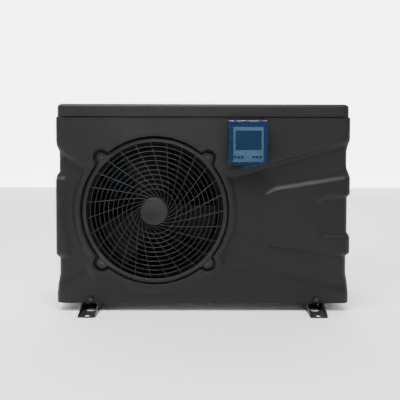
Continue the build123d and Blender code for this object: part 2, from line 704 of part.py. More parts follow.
# ---------------------------------------------------------------- water side
def make_exchanger_shell():
    """Upright plastic vessel with two threaded water ports through the rear panel."""
    with BuildPart() as exchanger_shell:
        rod(EXCHANGER_R, (EXCHANGER_X, EXCHANGER_Y, 60), UP, 440)
        fillet(exchanger_shell.edges().group_by(Axis.Z)[-1], 12)
        fillet(exchanger_shell.edges().group_by(Axis.Z)[0], 12)
        rod(60, (EXCHANGER_X, EXCHANGER_Y, 30), UP, 40)
        for z in (INLET_Z, OUTLET_Z):
            rod(32, (EXCHANGER_X, EXCHANGER_Y, z), NORTH, 105)
            rod(35, (EXCHANGER_X, 150, z), NORTH, 30)
        rod(EXCHANGER_R - 5, (EXCHANGER_X, EXCHANGER_Y, 66), UP, 428, Mode.SUBTRACT)
        for z in (INLET_Z, OUTLET_Z):
            rod(22, (EXCHANGER_X, EXCHANGER_Y, z), NORTH, 130, Mode.SUBTRACT)
    exchanger_shell.part.label = "exchanger_shell"
    export_step(exchanger_shell.part, "parts/exchanger_shell.step")


def make_titanium_coil():
    """Refrigerant coil inside the vessel."""
    with BuildPart() as titanium_coil:
        with BuildLine(Plane(origin=(EXCHANGER_X, EXCHANGER_Y, 100))):
            path = Helix(pitch=28, height=336, radius=55)
        with BuildSketch(Plane(origin=path @ 0, z_dir=path % 0)):
            Circle(7)
            Circle(5.8, mode=Mode.SUBTRACT)
        sweep(path=path, is_frenet=True)
    titanium_coil.part.label = "titanium_coil"
    export_step(titanium_coil.part, "parts/titanium_coil.step")


def make_union_tails():
    """Tails of the two water unions, with sockets for the pool pipes."""
    with BuildPart() as union_tails:
        for z in (INLET_Z, OUTLET_Z):
            rod(34.5, (EXCHANGER_X, 182.5, z), NORTH, 5)
            rod(29.5, (EXCHANGER_X, 182.5, z), NORTH, 29.5)
            rod(22, (EXCHANGER_X, 182, z), NORTH, 40, Mode.SUBTRACT)
            rod(SOCKET_R, (EXCHANGER_X, 186, z), NORTH, 40, Mode.SUBTRACT)
    union_tails.part.label = "union_tails"
    export_step(union_tails.part, "parts/union_tails.step")


def make_union_nut(name, z):
    """Ribbed nut that draws a union together."""
    with BuildPart() as nut:
        rod(43, (EXCHANGER_X, 168, z), NORTH, 27)
        for k in range(12):
            a = math.radians(30 * k)
            rod(4, (EXCHANGER_X + 42 * math.cos(a), 168, z + 42 * math.sin(a)), NORTH, 27)
        rod(35.3, (EXCHANGER_X, 167, z), NORTH, 21.5, Mode.SUBTRACT)
        rod(29.9, (EXCHANGER_X, 167, z), NORTH, 40, Mode.SUBTRACT)
    nut.part.label = name
    export_step(nut.part, f"parts/{name}.step")


def make_union_seals():
    """Flat rings between the ports and the tails."""
    with BuildPart() as union_seals:
        for z in (INLET_Z, OUTLET_Z):
            rod(32, (EXCHANGER_X, 180, z), NORTH, 2.5)
            rod(25, (EXCHANGER_X, 179, z), NORTH, 5, Mode.SUBTRACT)
    union_seals.part.label = "union_seals"
    export_step(union_seals.part, "parts/union_seals.step")


# ---------------------------------------------------------------- electrics
BOX_LOW = (104, -118, 522)
BOX_HIGH = (470, 20, 622)


def make_electrical_box():
    """Open-topped sheet box under the lid."""
    x0, y0, z0 = BOX_LOW
    x1, y1, z1 = BOX_HIGH
    with BuildPart() as electrical_box:
        block(BOX_LOW, BOX_HIGH)
        block((x0 + 1.5, y0 + 1.5, z0 + 1.5), (x1 - 1.5, y1 - 1.5, z1 + 1), Mode.SUBTRACT)
        block((PARTITION_X + 1.5, y0 + 10, z0), (x0, y1 - 10, z0 + 2))
        with Locations((x1 - 20, -90, z0), (x1 - 20, -60, z0)):
            Cylinder(10, 10, mode=Mode.SUBTRACT)
    electrical_box.part.label = "electrical_box"
    export_step(electrical_box.part, "parts/electrical_box.step")


def make_electrical_box_cover():
    x0, y0, z1 = BOX_LOW[0] - 2, BOX_LOW[1] - 2, BOX_HIGH[2]
    x1, y1 = BOX_HIGH[0] + 2, BOX_HIGH[1] + 2
    with BuildPart() as electrical_box_cover:
        block((x0, y0, z1 - 10), (x1, y1, z1 + 1.5))
        block((x0 + 1.5, y0 + 1.5, z1 - 11), (x1 - 1.5, y1 - 1.5, z1), Mode.SUBTRACT)
    electrical_box_cover.part.label = "electrical_box_cover"
    export_step(electrical_box_cover.part, "parts/electrical_box_cover.step")


def make_control_board():
    """Main circuit board with its relays, transformer and connectors."""
    with BuildPart() as control_board:
        block((120, -105, 532), (330, 5, 534))
        for x in (140, 165, 190, 215):
            block((x - 9, -95, 534), (x + 9, -72, 550))
        block((250, -60, 534), (300, -15, 572))
        for x in range(130, 230, 14):
            block((x, -8, 534), (x + 9, 1, 545))
        for x, y in ((126, -99), (324, -99), (126, -1), (324, -1)):
            rod(3, (x, y, 523.5), UP, 8.5)
    control_board.part.label = "control_board"
    export_step(control_board.part, "parts/control_board.step")


def make_capacitors():
    """Run capacitors for the compressor and the fan."""
    with BuildPart() as capacitors:
        rod(22, (365, -85, 548), (1, 0, 0), 80)
        rod(16, (365, -35, 542), (1, 0, 0), 60)
    capacitors.part.label = "capacitors"
    export_step(capacitors.part, "parts/capacitors.step")


def make_terminal_block():
    """Mains terminals behind the wiring hatch, on an upright plate."""
    with BuildPart() as terminal_block:
        block((280, 60, 523), (380, 82, 553))
        for k in range(6):
            block((283 + 16 * k, 82, 526), (295 + 16 * k, 90, 550))
            rod(3.5, (289 + 16 * k, 90, 538), NORTH, 3)
        block((270, 57, 510), (390, 60, 566))
        block((270, 20, 564), (390, 57, 566))
    terminal_block.part.label = "terminal_block"
    export_step(terminal_block.part, "parts/terminal_block.step")


def make_cable_glands():
    """Mains and signal glands: flange nuts, clamping domes and bores for the cables."""
    with BuildPart() as cable_glands:
        for z, thread_r, cable_r, body_r in ((POWER_GLAND_Z, 10.9, 6.5, 16), (SIGNAL_GLAND_Z, 7.9, 3.5, 12)):
            rod(thread_r, (GLAND_X, 150, z), NORTH, 20)
            with BuildSketch(front_plane(-GUARD_REAR)):
                with Locations((GLAND_X, z)):
                    RegularPolygon(body_r, 6)
            extrude(amount=-7)
            rod(body_r * 0.82, (GLAND_X, GUARD_REAR + 7, z), NORTH, 17)
            with BuildSketch(front_plane(-GUARD_FRONT)):
                with Locations((GLAND_X, z)):
                    RegularPolygon(body_r, 6)
            extrude(amount=4)
            rod(cable_r, (GLAND_X, 149, z), NORTH, 50, Mode.SUBTRACT)
    cable_glands.part.label = "cable_glands"
    export_step(cable_glands.part, "parts/cable_glands.step")


# ---------------------------------------------------------------- gauge
def make_pressure_gauge():
    """Refrigerant gauge in the rear panel: case, dial and pointer post."""
    with BuildPart() as pressure_gauge:
        rod(26.5, (GAUGE_X, 138, GAUGE_Z), NORTH, 26)
        rod(32, (GAUGE_X, GUARD_REAR, GAUGE_Z), NORTH, 9)
        rod(28, (GAUGE_X, GUARD_REAR + 1, GAUGE_Z), NORTH, 20, Mode.SUBTRACT)
        rod(5, (GAUGE_X, 138, GAUGE_Z), SOUTH, 14)
        rod(1.2, (GAUGE_X, GUARD_REAR, GAUGE_Z), NORTH, 5)
    pressure_gauge.part.label = "pressure_gauge"
    export_step(pressure_gauge.part, "parts/pressure_gauge.step")


def make_gauge_needle():
    """Pointer, resting at the low end of the dial: lower left, seen from the rear."""
    with BuildPart() as needle:
        with BuildSketch(front_plane(-GUARD_REAR - 3.4)):
            with Locations((GAUGE_X, GAUGE_Z)):
                Polygon((-2.2, -8), (2.2, -8), (0.8, 22), (-0.8, 22), align=None)
                Circle(4)
                Circle(1.26, mode=Mode.SUBTRACT)
        extrude(amount=1)
    resting = needle.part.rotate(Axis((GAUGE_X, 0, GAUGE_Z), (0, 1, 0)), 135)
    resting.label = "gauge_needle"
    export_step(resting, "parts/gauge_needle.step")


def make_gauge_lens():
    with BuildPart() as gauge_lens:
        rod(27.9, (GAUGE_X, GUARD_REAR + 6.5, GAUGE_Z), NORTH, 2)
    gauge_lens.part.label = "gauge_lens"
    export_step(gauge_lens.part, "parts/gauge_lens.step")


# ---------------------------------------------------------------- controller
def make_controller_housing():
    """Open box on the front panel, with two hinge lugs and the hinge pin's bores."""
    half = CTRL_W / 2
    with BuildPart() as controller_housing:
        block((CTRL_X - half, -187, CTRL_BOTTOM), (CTRL_X + half, -FACE_DEPTH, CTRL_TOP))
        fillet(controller_housing.edges().filter_by(Axis.Y), 4)
        block((CTRL_X - half + 2.5, -188, CTRL_BOTTOM + 2.5),
              (CTRL_X + half - 2.5, -168, CTRL_TOP - 2.5), Mode.SUBTRACT)
        for side in (-1, 1):
            x0 = CTRL_X + side * 42.5 - 7
            block((x0, -HINGE_DEPTH - 3, CTRL_TOP - 1), (x0 + 14, -HINGE_DEPTH + 3, HINGE_Z))
            rod(3, (x0, -HINGE_DEPTH, HINGE_Z), (1, 0, 0), 14)
            rod(1.55, (x0 - 1, -HINGE_DEPTH, HINGE_Z), (1, 0, 0), 16, Mode.SUBTRACT)
        rod(10, (CTRL_X, -FACE_DEPTH - 5, 568), NORTH, 10, Mode.SUBTRACT)
    controller_housing.part.label = "controller_housing"
    export_step(controller_housing.part, "parts/controller_housing.step")


def make_controller_bezel():
    """Front plate with the display window and the holes for the buttons."""
    with BuildPart() as controller_bezel:
        block((CTRL_X - 60, -BEZEL_DEPTH, 500), (CTRL_X + 60, -187, 636))
        fillet(controller_bezel.edges().filter_by(Axis.Y), 4)
        block((CTRL_X - 43, -195, 546), (CTRL_X + 43, -180, 610), Mode.SUBTRACT)
        for dx in BUTTON_X:
            block((CTRL_X + dx - 4.4, -195, BUTTON_Z - 3.4),
                  (CTRL_X + dx + 4.4, -180, BUTTON_Z + 3.4), Mode.SUBTRACT)
        rod(1.6, (CTRL_X - 1.5, -195, BUTTON_Z), NORTH, 20, Mode.SUBTRACT)
    controller_bezel.part.label = "controller_bezel"
    export_step(controller_bezel.part, "parts/controller_bezel.step")


def make_lcd_window():
    with BuildPart() as lcd_window:
        block((CTRL_X - 42.8, -BEZEL_DEPTH + 0.6, 546.2), (CTRL_X + 42.8, -BEZEL_DEPTH + 3, 609.8))
        block((CTRL_X - 46, -BEZEL_DEPTH + 3, 543), (CTRL_X + 46, -BEZEL_DEPTH + 5, 613))
    lcd_window.part.label = "lcd_window"
    export_step(lcd_window.part, "parts/lcd_window.step")


def make_controller_board():
    """Keypad board on four posts, with key switches and a light pipe up to the bezel."""
    with BuildPart() as controller_board:
        block((CTRL_X - 52, -179, 506), (CTRL_X + 52, -177.4, 630))
        for dx in BUTTON_X:
            block((CTRL_X + dx - 3, -182, BUTTON_Z - 3), (CTRL_X + dx + 3, -179, BUTTON_Z + 3))
        for sx in (-1, 1):
            for z in (514, 622):
                rod(3, (CTRL_X + sx * 46, -177.4, z), NORTH, 9.4)
        rod(1.5, (CTRL_X - 1.5, -BEZEL_DEPTH - 0.4, BUTTON_Z), NORTH, 12)
    controller_board.part.label = "controller_board"
    export_step(controller_board.part, "parts/controller_board.step")


def make_buttons():
    """Six keys, each a cap with a flange behind the bezel; they travel one millimetre inwards."""
    for number, dx in enumerate(BUTTON_X, start=1):
        x = CTRL_X + dx
        with BuildPart() as button:
            block((x - 4, -192, BUTTON_Z - 3), (x + 4, -186, BUTTON_Z + 3))
            block((x - 5, -186.6, BUTTON_Z - 4.5), (x + 5, -184.5, BUTTON_Z + 4.5))
        button.part.label = f"button_{number}"
        export_step(button.part, f"parts/button_{number}.step")


def make_controller_cover():
    """Hinged tray-shaped cover with three knuckles at the top and a latch tab below."""
    with BuildPart() as controller_cover:
        block((CTRL_X - COVER_HALF, -COVER_DEPTH, COVER_BOTTOM),
              (CTRL_X + COVER_HALF, -HINGE_DEPTH, COVER_TOP))
        fillet(controller_cover.edges().filter_by(Axis.Y), 5)
        block((CTRL_X - COVER_HALF + COVER_WALL, -COVER_DEPTH + COVER_WALL, COVER_BOTTOM + COVER_WALL),
              (CTRL_X + COVER_HALF - COVER_WALL, -160, COVER_TOP - COVER_WALL), Mode.SUBTRACT)
        block((CTRL_X - 17, -COVER_DEPTH, COVER_BOTTOM - 8),
              (CTRL_X + 17, -COVER_DEPTH + 4, COVER_BOTTOM + 1))
        for low, high in ((-65, -52), (-33, 33), (52, 65)):
            rod(3.2, (CTRL_X + low, -HINGE_DEPTH, HINGE_Z), (1, 0, 0), high - low)
        for low, high in ((-52, -33), (33, 52)):
            block((CTRL_X + low, -HINGE_DEPTH - 8, HINGE_Z - 8),
                  (CTRL_X + high, -160, HINGE_Z + 8), Mode.SUBTRACT)
        rod(1.55, (CTRL_X - 70, -HINGE_DEPTH, HINGE_Z), (1, 0, 0), 140, Mode.SUBTRACT)
    controller_cover.part.label = "controller_cover"
    export_step(controller_cover.part, "parts/controller_cover.step")


def make_cover_hinge_pin():
    with BuildPart() as cover_hinge_pin:
        rod(1.5, (CTRL_X - 64, -HINGE_DEPTH, HINGE_Z), (1, 0, 0), 128)
    cover_hinge_pin.part.label = "cover_hinge_pin"
    export_step(cover_hinge_pin.part, "parts/cover_hinge_pin.step")


# ---------------------------------------------------------------- screws and bolts
def make_case_screws():
    """Countersunk grille screws, and round-headed ones at the front's foot and on the hatch."""
    with BuildPart() as case_screws:
        for dx, dz in ear_points():
            centre = (FAN_X + dx, -154.4, FAN_Z + dz)
            rod(5.4, centre, SOUTH, 2.4)
            rod(2.4, centre, NORTH, 22)
            with Locations((FAN_X + dx, -157, FAN_Z + dz)):
                Box(7, 2, 1.4, mode=Mode.SUBTRACT)
                Box(1.4, 2, 7, mode=Mode.SUBTRACT)
        for x in FOOT_SCREW_X:
            rod(6, (x, -158, FOOT_SCREW_Z), SOUTH, 2.6)
            rod(2.6, (x, -158, FOOT_SCREW_Z), NORTH, 14)
        for x in (248, 412):
            for z in (486, 634):
                rod(4.5, (x, GUARD_REAR + 3, z), NORTH, 2.4)
                rod(2.1, (x, GUARD_REAR + 3, z), SOUTH, 12)
    case_screws.part.label = "case_screws"
    export_step(case_screws.part, "parts/case_screws.step")


def hex_head(x, y, z, radius, height):
    """Upright hexagon prism, as a separate solid ready to be added."""
    with BuildPart() as head:
        with BuildSketch(Plane.XY.offset(z)):
            with Locations((x, y)):
                RegularPolygon(radius, 6)
        extrude(amount=height)
    return head.part


def make_hex_bolts():
    """Hexagon bolts of the rails, the compressor's feet and the motor."""
    with BuildPart() as hex_bolts:
        for centre_x in (-RAIL_X, RAIL_X):
            for x, y in foot_bolt_points(centre_x):
                rod(4, (x, y, 18), UP, 13)
                add(hex_head(x, y, CASE_BOTTOM + SHEET, 7, 5))
                add(hex_head(x, y, CASE_BOTTOM - 7.5, 7, 5))
        for x, y in compressor_feet():
            rod(4, (x, y, 30.2), UP, 34)
            add(hex_head(x, y, 54.2, 7.5, 7))
        for sx in (-1, 1):
            for sz in (-1, 1):
                x = FAN_X + sx * 48
                z = FAN_Z + sz * 48
                rod(2.5, (x, 47, z), SOUTH, 9)
                rod(5, (x, 47, z), NORTH, 4)
    hex_bolts.part.label = "hex_bolts"
    export_step(hex_bolts.part, "parts/hex_bolts.step")


# ---------------------------------------------------------------- the whole unit
make_front_panel()
make_side_panels()
make_rear_panel()
make_rear_coil_guard()
make_lid()
make_service_cover()
make_foot_rail("left_foot_rail", -RAIL_X)
make_foot_rail("right_foot_rail", RAIL_X)
make_base_pan()
make_drain_spigot()
make_fan_grille()
make_fan_shroud()
make_fan_impeller()
make_fan_motor()
make_fan_shaft()
make_fan_nut()
make_motor_bracket()
make_evaporator_fins()
make_evaporator_tubes()
make_partition_plate()
make_compressor()
make_compressor_mounts()
make_suction_accumulator()
make_reversing_valve()
make_pipes()
make_filter_drier()
make_expansion_valve()
make_exchanger_shell()
make_titanium_coil()
make_union_tails()
make_union_nut("inlet_union_nut", INLET_Z)
make_union_nut("outlet_union_nut", OUTLET_Z)
make_union_seals()
make_electrical_box()
make_electrical_box_cover()
make_control_board()
make_capacitors()
make_terminal_block()
make_cable_glands()
make_pressure_gauge()
make_gauge_needle()
make_gauge_lens()
make_controller_housing()
make_controller_bezel()
make_lcd_window()
make_controller_board()
make_buttons()
make_controller_cover()
make_cover_hinge_pin()
make_case_screws()
make_hex_bolts()
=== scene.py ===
import json
import math

import bmesh
import bpy
import numpy as np
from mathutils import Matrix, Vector


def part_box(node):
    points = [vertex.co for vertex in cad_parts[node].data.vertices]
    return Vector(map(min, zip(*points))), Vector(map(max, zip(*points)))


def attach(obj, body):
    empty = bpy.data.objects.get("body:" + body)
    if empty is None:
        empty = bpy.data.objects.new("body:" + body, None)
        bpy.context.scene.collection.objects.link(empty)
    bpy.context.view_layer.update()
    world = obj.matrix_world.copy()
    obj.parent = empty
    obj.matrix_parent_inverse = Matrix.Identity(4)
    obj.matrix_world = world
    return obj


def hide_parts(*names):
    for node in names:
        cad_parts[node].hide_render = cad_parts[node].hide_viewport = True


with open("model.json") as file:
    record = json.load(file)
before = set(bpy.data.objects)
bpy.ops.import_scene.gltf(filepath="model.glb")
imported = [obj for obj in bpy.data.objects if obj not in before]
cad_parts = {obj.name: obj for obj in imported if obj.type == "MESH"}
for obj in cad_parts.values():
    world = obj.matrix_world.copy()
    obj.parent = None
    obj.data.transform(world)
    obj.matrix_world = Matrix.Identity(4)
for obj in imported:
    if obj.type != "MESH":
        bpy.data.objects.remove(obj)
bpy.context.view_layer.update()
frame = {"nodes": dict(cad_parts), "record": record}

# All sizes below are in millimetres, in the row frame; MM turns them into metres.
MM = 0.001

# ---------------------------------------------------------------- places taken from the frame
LOW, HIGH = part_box("front_panel")
SEAM_Z = HIGH.z / MM
CASE_BOTTOM = LOW.z / MM
SEAM_DEPTH = -HIGH.y / MM
PAD_HALF = HIGH.x / MM
GRILLE_LOW, GRILLE_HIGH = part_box("fan_grille")
FAN_X = (GRILLE_LOW.x + GRILLE_HIGH.x) / 2 / MM
FAN_Z = (GRILLE_LOW.z + GRILLE_HIGH.z) / 2 / MM
GRILLE_RIM_R = (GRILLE_HIGH.x - GRILLE_LOW.x) / 2 / MM
HUB_DEPTH = -GRILLE_LOW.y / MM

# ---------------------------------------------------------------- the case's relief
TOP_HALF = PAD_HALF - 3.0
BOTTOM_HALF = PAD_HALF - 3.0
WAIST_HALF = PAD_HALF - 10.0
MID_DEPTH = 150.0
TOP_RAISE = 14.5
BOTTOM_RAISE = 8.0
PAD_RAISE = 10.0
BEAD_DEPTH = 165.5
CORNER_R = 26.0
WALL = 3.5
RECESS_R = 252.0
RECESS_EAR_R = 30.0
EAR_SPREAD = 178.0
EAR_R = 19.5
SEAT_DEPTH = 148.0
OPENING_R = 231.0
GRID = 3.5

RIGHT_OUTLINE = [(BOTTOM_HALF, CASE_BOTTOM), (BOTTOM_HALF, 87), (WAIST_HALF, 127), (WAIST_HALF, 187),
                 (PAD_HALF, 197), (PAD_HALF, 258), (WAIST_HALF + 2, 267), (WAIST_HALF + 2, 388),
                 (PAD_HALF, 397), (PAD_HALF, 463), (WAIST_HALF, 490), (WAIST_HALF, 543),
                 (TOP_HALF, 573), (TOP_HALF, SEAM_Z)]
LEFT_OUTLINE = [(BOTTOM_HALF, CASE_BOTTOM), (BOTTOM_HALF, 87), (WAIST_HALF, 122), (WAIST_HALF, 178),
                (PAD_HALF, 188), (PAD_HALF, 461), (WAIST_HALF, 471), (WAIST_HALF, 540),
                (TOP_HALF, 573), (TOP_HALF, SEAM_Z)]
TOP_REGION = [(-560, 720), (-560, 562), (-487, 538), (-413, 483), (-330, 420), (20, 420),
              (88, 453), (483, 562), (560, 583), (560, 720)]
BOTTOM_REGION = [(-560, -40), (-560, 41), (-479, 98), (-388, 163), (-330, 190), (20, 190),
                 (63, 181), (473, 88), (560, 69), (560, -40)]
# The right pad and the cut in it are these cores grown by a radius, which rounds their corners.
RIGHT_PAD_CORE = [(223, 243), (223, 391), (246, 403.5), (560, 455.8), (560, 198), (243, 232)]
RIGHT_PAD_ROUND = 18.0
CUT_CORE = [(415, 284), (415, 360), (560, 368), (560, 277)]
CUT_ROUND = 22.0
NOTCH = [(380, 250), (380, 392), (560, 404), (560, 242)]
LEFT_PAD = [(-560, 183), (-560, 457), (-457, 457), (-462, 342), (-440, 183)]

FOOT_SCREW_X = (-378.0, 383.0)
FOOT_SCREW_Z = 42.0
DIMPLE_HALF = 11.5

RASTER = 2.0
RASTER_X = np.arange(-560.0, 561.0, RASTER)
RASTER_Z = np.arange(-20.0, 721.0, RASTER)


def polygon_distance(points, x, z):
    """Signed distance to a polygon, negative inside."""
    nearest = np.full(x.shape, 1e9)
    inside = np.zeros(x.shape, bool)
    for (x0, z0), (x1, z1) in zip(points, points[1:] + points[:1]):
        dx, dz = x1 - x0, z1 - z0
        t = np.clip(((x - x0) * dx + (z - z0) * dz) / (dx * dx + dz * dz), 0, 1)
        nearest = np.minimum(nearest, np.hypot(x - x0 - t * dx, z - z0 - t * dz))
        crosses = (z0 > z) != (z1 > z)
        with np.errstate(divide="ignore", invalid="ignore"):
            inside ^= crosses & (x < x0 + (z - z0) * dx / (dz if dz else 1e-9))
    return np.where(inside, -nearest, nearest)


def smoothstep(t):
    t = np.clip(t, 0, 1)
    return t * t * (3 - 2 * t)


def blur(field, passes, axis):
    """A few three-point averages along one axis."""
    for _ in range(passes):
        padded = np.concatenate([field.take([0], axis), field, field.take([-1], axis)], axis)
        n = field.shape[axis]
        parts = [padded.take(range(k, k + n), axis) for k in range(3)]
        field = (parts[0] + 2 * parts[1] + parts[2]) / 4
    return field


def build_relief():
    """Depth of the front surface on a raster, with every step softened."""
    x, z = np.meshgrid(RASTER_X, RASTER_Z)
    depth = np.zeros(x.shape)
    pad = PAD_RAISE * smoothstep((RIGHT_PAD_ROUND - polygon_distance(RIGHT_PAD_CORE, x, z)) / 9)
    pad *= smoothstep((polygon_distance(CUT_CORE, x, z) - CUT_ROUND) / 8)
    notch = 3.0 * smoothstep(-polygon_distance(NOTCH, x, z) / 8)
    left_pad = PAD_RAISE * smoothstep(-polygon_distance(LEFT_PAD, x, z) / 12)
    top = TOP_RAISE * smoothstep(-polygon_distance(TOP_REGION, x, z) / 17)
    bottom = BOTTOM_RAISE * smoothstep(-polygon_distance(BOTTOM_REGION, x, z) / 26)
    for layer in (pad, notch, left_pad, top, bottom):
        depth = np.maximum(depth, layer)
    depth = blur(blur(depth, 6, 0), 6, 1)
    for screw_x in FOOT_SCREW_X:
        square = np.maximum(np.abs(x - screw_x), np.abs(z - FOOT_SCREW_Z)) - DIMPLE_HALF
        depth -= 2.4 * smoothstep(-square / 4)
    return MID_DEPTH + depth


RELIEF = build_relief()


def relief(x, z):
    """The raster read between its points."""
    fx = np.clip((x - RASTER_X[0]) / RASTER, 0, len(RASTER_X) - 1.001)
    fz = np.clip((z - RASTER_Z[0]) / RASTER, 0, len(RASTER_Z) - 1.001)
    ix, iz = fx.astype(int), fz.astype(int)
    fx, fz = fx - ix, fz - iz
    low = RELIEF[iz, ix] * (1 - fx) + RELIEF[iz, ix + 1] * fx
    high = RELIEF[iz + 1, ix] * (1 - fx) + RELIEF[iz + 1, ix + 1] * fx
    return low * (1 - fz) + high * fz


def soft_min(a, b, k):
    h = np.clip(0.5 + 0.5 * (b - a) / k, 0, 1)
    return b * (1 - h) + a * h - k * h * (1 - h)


def recess_distance(x, z):
    """Signed distance to the grille's recess, a circle with four blended ears; negative inside."""
    dx, dz = x - FAN_X, z - FAN_Z
    d = np.hypot(dx, dz) - RECESS_R
    ear = np.hypot(np.abs(dx) - EAR_SPREAD, np.abs(dz) - EAR_SPREAD) - RECESS_EAR_R
    return soft_min(d, ear, 8.0)


def recess_gradient(x, z):
    """Unit direction away from the recess."""
    e = 0.05
    gx = recess_distance(x + e, z) - recess_distance(x - e, z)
    gz = recess_distance(x, z + e) - recess_distance(x, z - e)
    length = np.hypot(gx, gz)
    return gx / length, gz / length


def front_depth(x, z):
    """Depth of the front surface: relief, then the rounded bead that runs round the recess."""
    base = relief(x, z)
    d = np.maximum(recess_distance(x, z), 0)
    swell = 1 - smoothstep((d - 7) / 25)
    crown = BEAD_DEPTH - 0.012 * (d - 6) ** 2 * (d < 6)
    return base + (np.maximum(crown, base) - base) * swell


def half_width(outline, z):
    """Half width of the case at a height, with its steps softened."""
    heights = np.arange(CASE_BOTTOM, SEAM_Z + 1, 1.0)
    widths = np.interp(heights, [p[1] for p in outline], [p[0] for p in outline])
    return np.interp(z, heights, blur(widths, 10, 0))


# ---------------------------------------------------------------- mesh helpers
def new_object(name, verts, faces, smooth=True):
    """A mesh object from points in millimetres given as x, depth, z."""
    mesh = bpy.data.meshes.new(name)
    mesh.from_pydata([(x * MM, -d * MM, z * MM) for x, d, z in verts], [], faces)
    mesh.validate()
    obj = bpy.data.objects.new(name, mesh)
    bpy.context.collection.objects.link(obj)
    if smooth:
        mesh.polygons.foreach_set("use_smooth", [True] * len(mesh.polygons))
    return obj


def apply_modifiers(obj):
    """Bakes an object's modifiers into its mesh."""
    graph = bpy.context.evaluated_depsgraph_get()
    mesh = bpy.data.meshes.new_from_object(obj.evaluated_get(graph))
    obj.modifiers.clear()
    obj.data = mesh


def lathe(profile, steps, centre=(0.0, 0.0)):
    """Points and faces of a closed profile (radius, depth) turned about the fan's axis."""
    verts, faces = [], []
    n = len(profile)
    for i in range(steps):
        a = 2 * math.pi * i / steps
        for r, d in profile:
            verts.append((FAN_X + centre[0] + r * math.cos(a), d, FAN_Z + centre[1] + r * math.sin(a)))
    for i in range(steps):
        j = (i + 1) % steps
        for k in range(n):
            m = (k + 1) % n
            faces.append((i * n + k, i * n + m, j * n + m, j * n + k))
    return verts, faces


def join_parts(name, parts):
    """One object from several (points, faces) lists."""
    verts, faces = [], []
    for part_verts, part_faces in parts:
        start = len(verts)
        verts += part_verts
        faces += [tuple(start + i for i in f) for f in part_faces]
    obj = new_object(name, verts, faces)
    bm = bmesh.new()
    bm.from_mesh(obj.data)
    bmesh.ops.recalc_face_normals(bm, faces=bm.faces)
    bm.to_mesh(obj.data)
    bm.free()
    return obj


def rounded_section(half_w, half_h, radius, steps=3):
    """Rectangle with rounded corners, as points about its centre."""
    points = []
    for cx, cy, start in ((1, 1, 0), (-1, 1, 90), (-1, -1, 180), (1, -1, 270)):
        for i in range(steps + 1):
            a = math.radians(start + 90 * i / steps)
            points.append((cx * (half_w - radius) + radius * math.cos(a),
                           cy * (half_h - radius) + radius * math.sin(a)))
    return points


# ---------------------------------------------------------------- front panel
def row_heights():
    """Heights of the grid's rows, closer together at the rounded top and bottom edges."""
    edge = [0.0, 0.5, 1.2, 2.2]
    middle = np.linspace(CASE_BOTTOM + 4, SEAM_Z - 4, int((SEAM_Z - CASE_BOTTOM - 8) / GRID) + 1)
    return [CASE_BOTTOM + e for e in edge] + list(middle) + [SEAM_Z - e for e in edge[::-1]]


def edge_inset(z):
    """How far the surface falls back next to the panel's top and bottom edges."""
    radius = 3.0
    t = radius - np.clip(min(z - CASE_BOTTOM, SEAM_Z - z), 0, radius)
    return radius - math.sqrt(max(radius ** 2 - t ** 2, 0))


def make_front_panel():
    heights = row_heights()
    flat = np.linspace(-440, 440, int(880 / GRID) + 1)
    near = np.linspace(0, 1, 8)[1:]
    arc = np.radians(np.linspace(0, 90, 10)[1:])
    sides = np.linspace(0, 1, 9)[1:]
    points = []
    for z in heights:
        inset = edge_inset(z)
        row = []
        for sign, outline in ((-1, LEFT_OUTLINE), (1, RIGHT_OUTLINE)):
            half = float(half_width(outline, z)) - inset
            x_flat = 440 + near * (half - CORNER_R - 440)
            edge_depth = float(front_depth(np.array([sign * half]), np.array([z]))[0]) - inset
            piece = [(sign * x, float(front_depth(np.array([sign * x]), np.array([z]))[0]) - inset)
                     for x in x_flat]
            start = piece[-1][1]
            for a in arc:
                drop = CORNER_R * (1 - math.cos(a))
                blend = start + (edge_depth - start) * math.sin(a)
                piece.append((sign * (half - CORNER_R + CORNER_R * math.sin(a)), blend - drop))
            corner_depth = piece[-1][1]
            piece += [(sign * half, corner_depth + (SEAM_DEPTH - corner_depth) * t) for t in sides]
            row.append(piece)
        depths = front_depth(flat, np.full(flat.shape, z)) - inset
        middle = list(zip(flat.tolist(), depths.tolist()))
        points.append([(x, d, z) for x, d in row[0][::-1] + middle + row[1]])
    columns = len(points[0])
    grid = np.array(points)
    inside = recess_distance(grid[..., 0], grid[..., 2])
    inside[grid[..., 1] < MID_DEPTH - 20] = 100.0
    moved = {}
    faces = []
    for i in range(len(heights) - 1):
        for j in range(columns - 1):
            corners = [(i, j), (i, j + 1), (i + 1, j + 1), (i + 1, j)]
            values = [inside[c] for c in corners]
            if max(values) <= 0.3 * GRID:
                continue
            for c, v in zip(corners, values):
                if v <= 0.3 * GRID:
                    moved[c] = True
            faces.append(tuple(a * columns + b for a, b in corners))
    for c in moved:
        for _ in range(4):
            x, z = grid[c][0], grid[c][2]
            gx, gz = recess_gradient(np.array([x]), np.array([z]))
            d = float(recess_distance(np.array([x]), np.array([z]))[0])
            grid[c][0] = x - float(gx[0]) * d
            grid[c][2] = z - float(gz[0]) * d
        grid[c][1] = float(front_depth(grid[c][0:1], grid[c][2:3])[0])
    panel = new_object("front_panel_skin", grid.reshape(-1, 3).tolist(), faces)
    bm = bmesh.new()
    bm.from_mesh(panel.data)
    loose = [v for v in bm.verts if not v.link_faces]
    bmesh.ops.delete(bm, geom=loose, context="VERTS")
    add_recess(bm)
    bmesh.ops.recalc_face_normals(bm, faces=bm.faces)
    bm.to_mesh(panel.data)
    bm.free()
    front = [p for p in panel.data.polygons if p.normal.y < -0.9]
    if len(front) < len(panel.data.polygons) * 0.3:
        panel.data.flip_normals()
    shell = panel.modifiers.new("wall", "SOLIDIFY")
    shell.thickness = WALL * MM
    shell.offset = -1
    apply_modifiers(panel)
    panel.data.polygons.foreach_set("use_smooth", [True] * len(panel.data.polygons))
    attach(panel, "case")
    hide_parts("front_panel")
    return panel


